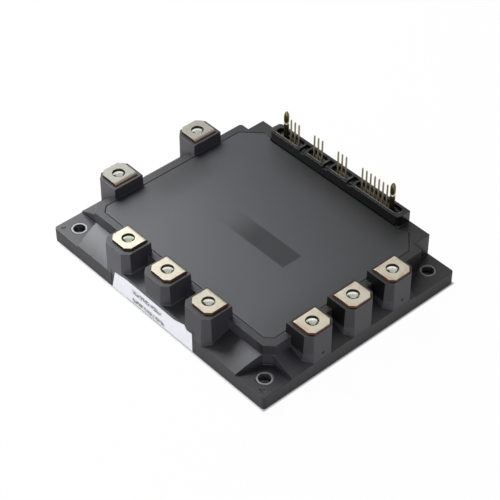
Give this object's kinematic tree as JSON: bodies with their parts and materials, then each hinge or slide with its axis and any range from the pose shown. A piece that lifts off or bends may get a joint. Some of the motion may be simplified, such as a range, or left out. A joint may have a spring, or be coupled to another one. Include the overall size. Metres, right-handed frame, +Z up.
{
  "type": "insulated-gate power module",
  "caption": "Flat dark power transistor module with screw terminals on raised towers, a flush lid and a header of control pins between guide pins.",
  "frame": {"origin": "centre of the underside of the base plate", "axes": "+X along the label side, from the side with two terminals to the side with three; +Y from the label side to the pin header; +Z up, out of the cooling face"},
  "size_m": [0.138, 0.111, 0.0367],
  "materials": {
    "plated_copper": "nickel-plated copper, satin",
    "case_plastic": "dark grey moulded resin, fine texture",
    "lid_plastic": "dark grey moulded resin, fine texture",
    "label_paper": "white film label",
    "sleeve_steel": "plated steel",
    "nut_steel": "zinc-plated steel",
    "terminal_tinned": "tinned copper, bare copper at the cut edges",
    "pin_brass": "gold-flashed brass",
    "guide_brass": "brass, darkened",
    "substrate_ceramic": "ceramic with copper faces",
    "chip_silicon": "metallised silicon",
    "wire_aluminium": "drawn aluminium wire",
    "board_green": "solder-resist green",
    "ic_plastic": "black moulded",
    "gel_clear": "soft clear silicone"
  },
  "bodies": {
    "root": {"base_plate": "plated_copper", "case_frame": "case_plastic", "lid": "lid_plastic", "label": "label_paper", "mount_sleeves": "sleeve_steel", "terminal_nuts": "nut_steel", "guide_pin_left": "guide_brass", "guide_pin_right": "guide_brass", "bond_wires": "wire_aluminium", "link_pins": "pin_brass", "control_board": "board_green", "gel": "gel_clear", "control_pin_01": "pin_brass", "control_pin_02": "pin_brass", "control_pin_03": "pin_brass", "control_pin_04": "pin_brass", "control_pin_05": "pin_brass", "control_pin_06": "pin_brass", "control_pin_07": "pin_brass", "control_pin_08": "pin_brass", "control_pin_09": "pin_brass", "control_pin_10": "pin_brass", "control_pin_11": "pin_brass", "control_pin_12": "pin_brass", "control_pin_13": "pin_brass", "control_pin_14": "pin_brass", "control_pin_15": "pin_brass", "control_pin_16": "pin_brass", "terminal_u": "terminal_tinned", "terminal_v": "terminal_tinned", "terminal_w": "terminal_tinned", "terminal_p1": "terminal_tinned", "terminal_n1": "terminal_tinned", "terminal_p2": "terminal_tinned", "terminal_b": "terminal_tinned", "terminal_n2": "terminal_tinned", "substrate_1": "substrate_ceramic", "substrate_2": "substrate_ceramic", "substrate_3": "substrate_ceramic", "igbt_chip_1": "chip_silicon", "igbt_chip_2": "chip_silicon", "igbt_chip_3": "chip_silicon", "igbt_chip_4": "chip_silicon", "igbt_chip_5": "chip_silicon", "igbt_chip_6": "chip_silicon", "igbt_chip_7": "chip_silicon", "diode_chip_1": "chip_silicon", "diode_chip_2": "chip_silicon", "diode_chip_3": "chip_silicon", "diode_chip_4": "chip_silicon", "diode_chip_5": "chip_silicon", "diode_chip_6": "chip_silicon", "diode_chip_7": "chip_silicon", "drive_ic_1": "ic_plastic", "drive_ic_2": "ic_plastic", "drive_ic_3": "ic_plastic", "drive_ic_4": "ic_plastic"}
  },
  "joints": []
}
